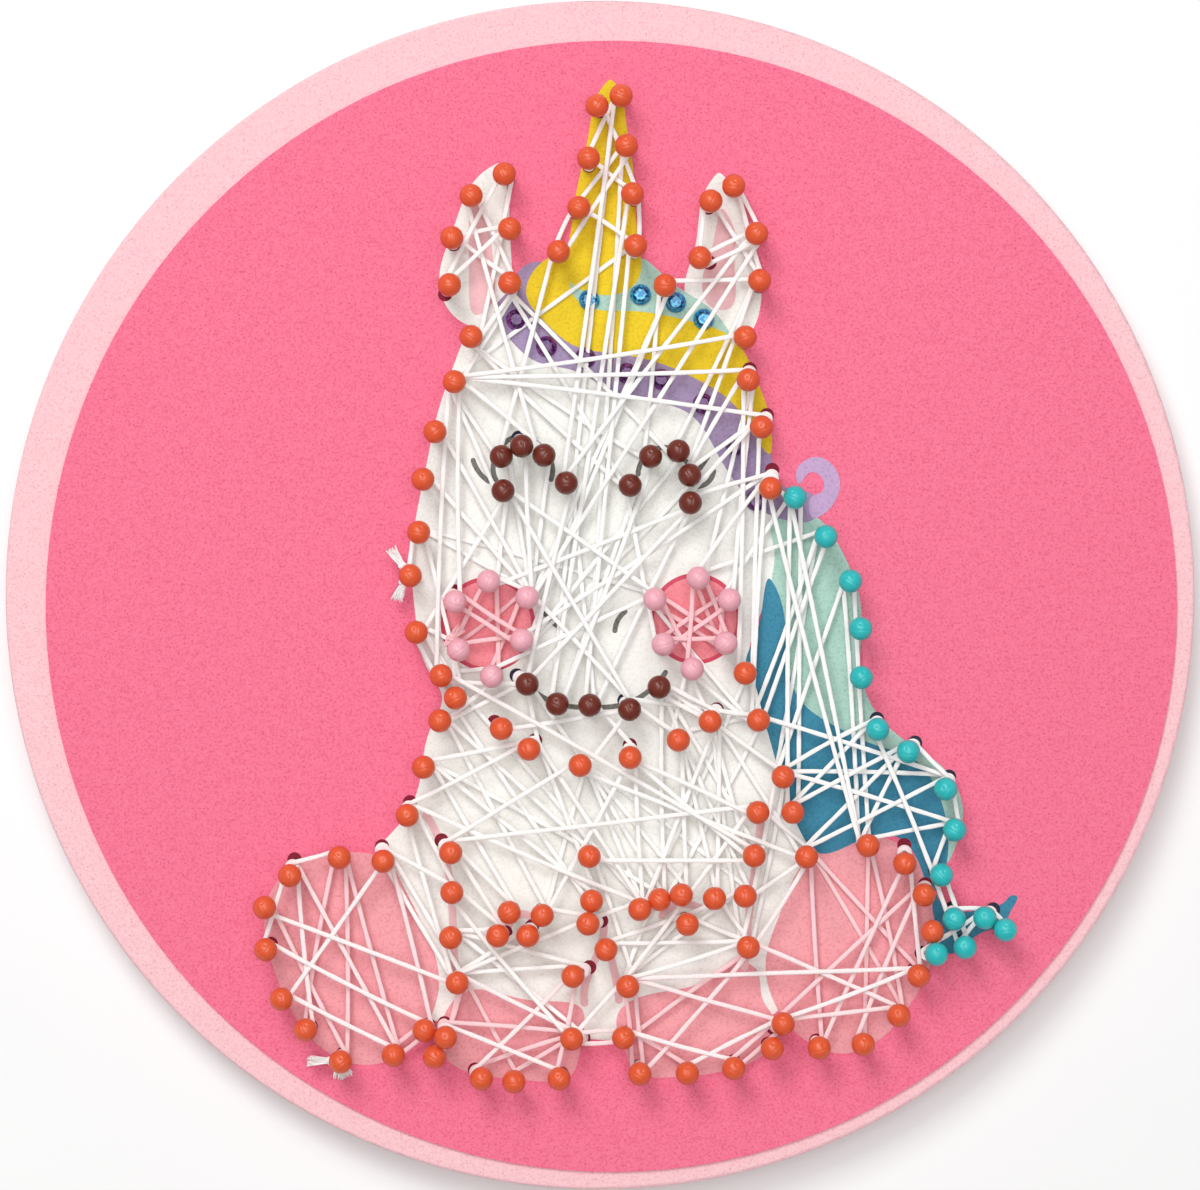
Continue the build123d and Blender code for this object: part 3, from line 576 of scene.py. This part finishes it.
low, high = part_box("thread_cut_ends")
cut_height = (low.z + high.z) / 2 / MM
for slot, ends in CUT_ENDS.items():
    heap = Heap()
    for points in ends:
        for shape in frayed_end(points, cut_height):
            heap.add(*shape)
        start, bend = np.array([*points[0], cut_height]), np.array([*points[1], cut_height])
        middle = bend * 0.75 + start * 0.25
        heap.add(*knot(middle))
    replaced = ["thread_cut_ends"] if slot == "thread_white" else []
    name = "frayed_ends_" + slot.removeprefix("thread_")
    piece(name, np.vstack(heap.corners), heap.faces, slot, replaced)


# ---------------------------------------------------------------- pin heads
def head_template():
    """A ball with a collar under it, about its own middle, closed where the needle goes in."""
    collar_start = math.pi - math.asin(COLLAR_RADIUS / HEAD_RADIUS)
    bend = np.linspace(0, collar_start, HEAD_RINGS)[1:]
    profile = [(HEAD_RADIUS * math.sin(a), HEAD_RADIUS * math.cos(a)) for a in bend]
    foot = -HEAD_RADIUS - COLLAR_LENGTH
    profile += [(COLLAR_RADIUS, foot + 0.5), (COLLAR_RADIUS, foot + COLLAR_EDGE)]
    profile += [(COLLAR_RADIUS - COLLAR_EDGE, foot), (SOCKET_RADIUS, foot)]
    profile += [(SOCKET_RADIUS, foot + SOCKET_DEPTH)]
    turn = np.linspace(0, 2 * math.pi, HEAD_SEGMENTS, endpoint=False)
    corners = [(0, 0, HEAD_RADIUS)]
    for radius, z in profile:
        corners += [(radius * math.cos(a), radius * math.sin(a), z) for a in turn]
    corners.append((0, 0, foot + SOCKET_DEPTH))
    faces = [[0, 1 + one, 1 + (one + 1) % HEAD_SEGMENTS] for one in range(HEAD_SEGMENTS)]
    for ring in range(len(profile) - 1):
        low = 1 + ring * HEAD_SEGMENTS
        for one in range(HEAD_SEGMENTS):
            following = (one + 1) % HEAD_SEGMENTS
            below = low + HEAD_SEGMENTS
            faces.append([low + one, below + one, below + following, low + following])
    last = 1 + (len(profile) - 1) * HEAD_SEGMENTS
    for one in range(HEAD_SEGMENTS):
        faces.append([len(corners) - 1, last + (one + 1) % HEAD_SEGMENTS, last + one])
    return np.array(corners), faces


def moulded_head(corners, pin):
    """One head in its place, with its gate dimple and its mould seam. Only the ball has them."""
    axis = pin.along
    side = np.cross([0.0, 1.0, 0.0], axis)
    side /= np.linalg.norm(side)
    forward = np.cross(axis, side)
    lean = DIMPLE_TILT + rng.normal(0, 0.05)
    heading = rng.normal(0, 0.3)
    gate = np.array([math.sin(lean) * math.sin(heading), math.sin(lean) * math.cos(heading), math.cos(lean)])
    seam_turn = rng.uniform(0, math.pi)
    seam = np.array([math.cos(seam_turn), math.sin(seam_turn), 0.1])
    seam /= np.linalg.norm(seam)
    length = np.linalg.norm(corners, axis=1)
    ball = (length > HEAD_RADIUS * 0.99) & (corners[:, 2] > -HEAD_RADIUS * 0.8)
    out = corners / length[:, None]
    from_gate = np.linalg.norm(out - gate, axis=1) * HEAD_RADIUS
    sink = DIMPLE_DEPTH * np.exp(-((from_gate / DIMPLE_RADIUS) ** 2))
    groove = SEAM_DEPTH * np.exp(-((out @ seam * HEAD_RADIUS / SEAM_RADIUS) ** 2))
    moved = corners - out * ((groove + sink) * ball)[:, None]
    return pin.head + moved[:, :1] * side + moved[:, 1:2] * forward + moved[:, 2:] * axis


template, template_faces = head_template()
for head_node, group_pins in heads.items():
    heap = Heap()
    for pin in group_pins:
        heap.add(moulded_head(template, pin), template_faces)
    kind = head_node.removeprefix(HEAD_PREFIX)
    slot = "head_" + kind.split("_")[0]
    piece("balls_" + kind, np.vstack(heap.corners), heap.faces, slot, [head_node])


# ---------------------------------------------------------------- stones
def cut_stone(middle, bottom, turned):
    """A flat-back stone with girdle, kite and star facets, and the material index of each facet."""

    def ring(radius, z, count, offset):
        angles = turned + offset + np.arange(count) * 2 * math.pi / count
        x, y = middle[0], middle[1]
        return [(x + radius * math.cos(a), y + radius * math.sin(a), bottom + z) for a in angles]

    # each ring of facets takes its own copy of the stone's colour, lighter or darker by painted light and
    # shade
    rim, crown, table = 0, 1, 2
    half = math.pi / CROWN_SIDES
    kites, tables = 2 * STONE_SIDES, 2 * STONE_SIDES + CROWN_SIDES
    corners = ring(STONE_FOOT_RADIUS, 0, STONE_SIDES, 0) + ring(STONE_RADIUS, GIRDLE_HEIGHT, STONE_SIDES, 0)
    corners += ring(KITE_RADIUS, KITE_HEIGHT, CROWN_SIDES, half)
    corners += ring(TABLE_RADIUS, STONE_HEIGHT, CROWN_SIDES, 0)
    faces = [[STONE_SIDES - 1 - one for one in range(STONE_SIDES)]]
    indices = [table]
    for one in range(STONE_SIDES):
        following = (one + 1) % STONE_SIDES
        faces.append([one, following, STONE_SIDES + following, STONE_SIDES + one])
        indices.append(rim)
    for one in range(CROWN_SIDES):
        following = (one + 1) % CROWN_SIDES
        kite, next_kite = kites + one, kites + following
        before, tip = STONE_SIDES + 2 * one, STONE_SIDES + 2 * one + 1
        after = STONE_SIDES + (2 * one + 2) % STONE_SIDES
        faces += [[before, tip, kite], [tip, after, kite]]
        faces += [[kite, after, next_kite]]
        faces += [[kite, tables + following, tables + one], [kite, next_kite, tables + following]]
        indices += [rim, rim, rim, crown, crown]
    faces.append([tables + one for one in range(CROWN_SIDES)])
    indices.append(table)
    return np.array(corners), faces, indices


for stone_node in ("stones_blue", "stones_purple"):
    heap = Heap()
    for corners in islands(stone_node):
        low, high = corners.min(0), corners.max(0)
        heap.add(*cut_stone((low + high) / 2, low[2], rng.uniform(0, math.pi)))
    slot = "stone_" + stone_node.removeprefix("stones_")
    name = "cut_" + stone_node
    piece(name, np.vstack(heap.corners), heap.faces, slot, [stone_node], heap.indices, jewels[slot])


# ---------------------------------------------------------------- materials of the CAD nodes that stay
slot_of = {entry["node"]: entry["material_slot"] for entry in frame["record"]["subparts"]}
for name, node in nodes.items():
    if slot_of[name] in materials:
        node.data.materials.clear()
        node.data.materials.append(materials[slot_of[name]])


# ---------------------------------------------------------------- floor, light and camera
# in metres, and the power in watts
FLOOR_HALF = 1.5
CEILING_PLACE = (0, 0.15, 1.5)
CEILING_SIZE = 1.1
CEILING_POWER = 11.4
WINDOW_PLACE = (-0.32, 0.7, 1.1)
WINDOW_SIZE = 0.5
WINDOW_POWER = 7.2
WORLD_STRENGTH = 0.3
FRAME_WIDTH = 0.2017             # what the picture is wide at the board's upper edge
CAMERA_DISTANCE = 0.65           # from the board's upper face
board_low, board_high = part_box("foam_board")
floor_mesh = bpy.data.meshes.new("floor")
floor_corners = [(x * FLOOR_HALF, y * FLOOR_HALF, 0) for x, y in ((-1, -1), (1, -1), (1, 1), (-1, 1))]
floor_mesh.from_pydata(floor_corners, [], [[0, 1, 2, 3]])
floor = bpy.data.objects.new("floor", floor_mesh)
bpy.context.scene.collection.objects.link(floor)
floor_paint = Paint("floor_white", (250, 250, 250), 0.9)
floor_paint.tint(floor_paint.noise(30, 2), (244, 244, 244), 0.3)
floor_mesh.materials.append(floor_paint.done())
floor.location.z = board_low.z


def area_light(name, place, size, power):
    """A square soft box that points at the middle of the floor."""
    lamp = bpy.data.lights.new(name, "AREA")
    lamp.size = size
    lamp.energy = power
    thing = bpy.data.objects.new(name, lamp)
    thing.location = place
    aim = Vector((0, 0, 0)) - Vector(place)
    thing.rotation_euler = aim.to_track_quat("-Z", "Y").to_euler()
    bpy.context.scene.collection.objects.link(thing)


area_light("ceiling", CEILING_PLACE, CEILING_SIZE, CEILING_POWER)
area_light("window", WINDOW_PLACE, WINDOW_SIZE, WINDOW_POWER)
world = bpy.data.worlds.new("studio")
world.use_nodes = True
world.node_tree.nodes["Background"].inputs["Color"].default_value = (1, 0.99, 0.98, 1)
world.node_tree.nodes["Background"].inputs["Strength"].default_value = WORLD_STRENGTH
bpy.context.scene.world = world
bpy.context.scene.view_settings.view_transform = "Standard"

camera_data = bpy.data.cameras.new("camera")
camera_data.sensor_width = 36
camera_data.lens = camera_data.sensor_width * CAMERA_DISTANCE / FRAME_WIDTH
camera_data.clip_start = 0.01
camera_data.clip_end = 20
camera = bpy.data.objects.new("camera", camera_data)
camera.location = (0, 0, board_high.z + CAMERA_DISTANCE)
bpy.context.scene.collection.objects.link(camera)
bpy.context.scene.camera = camera
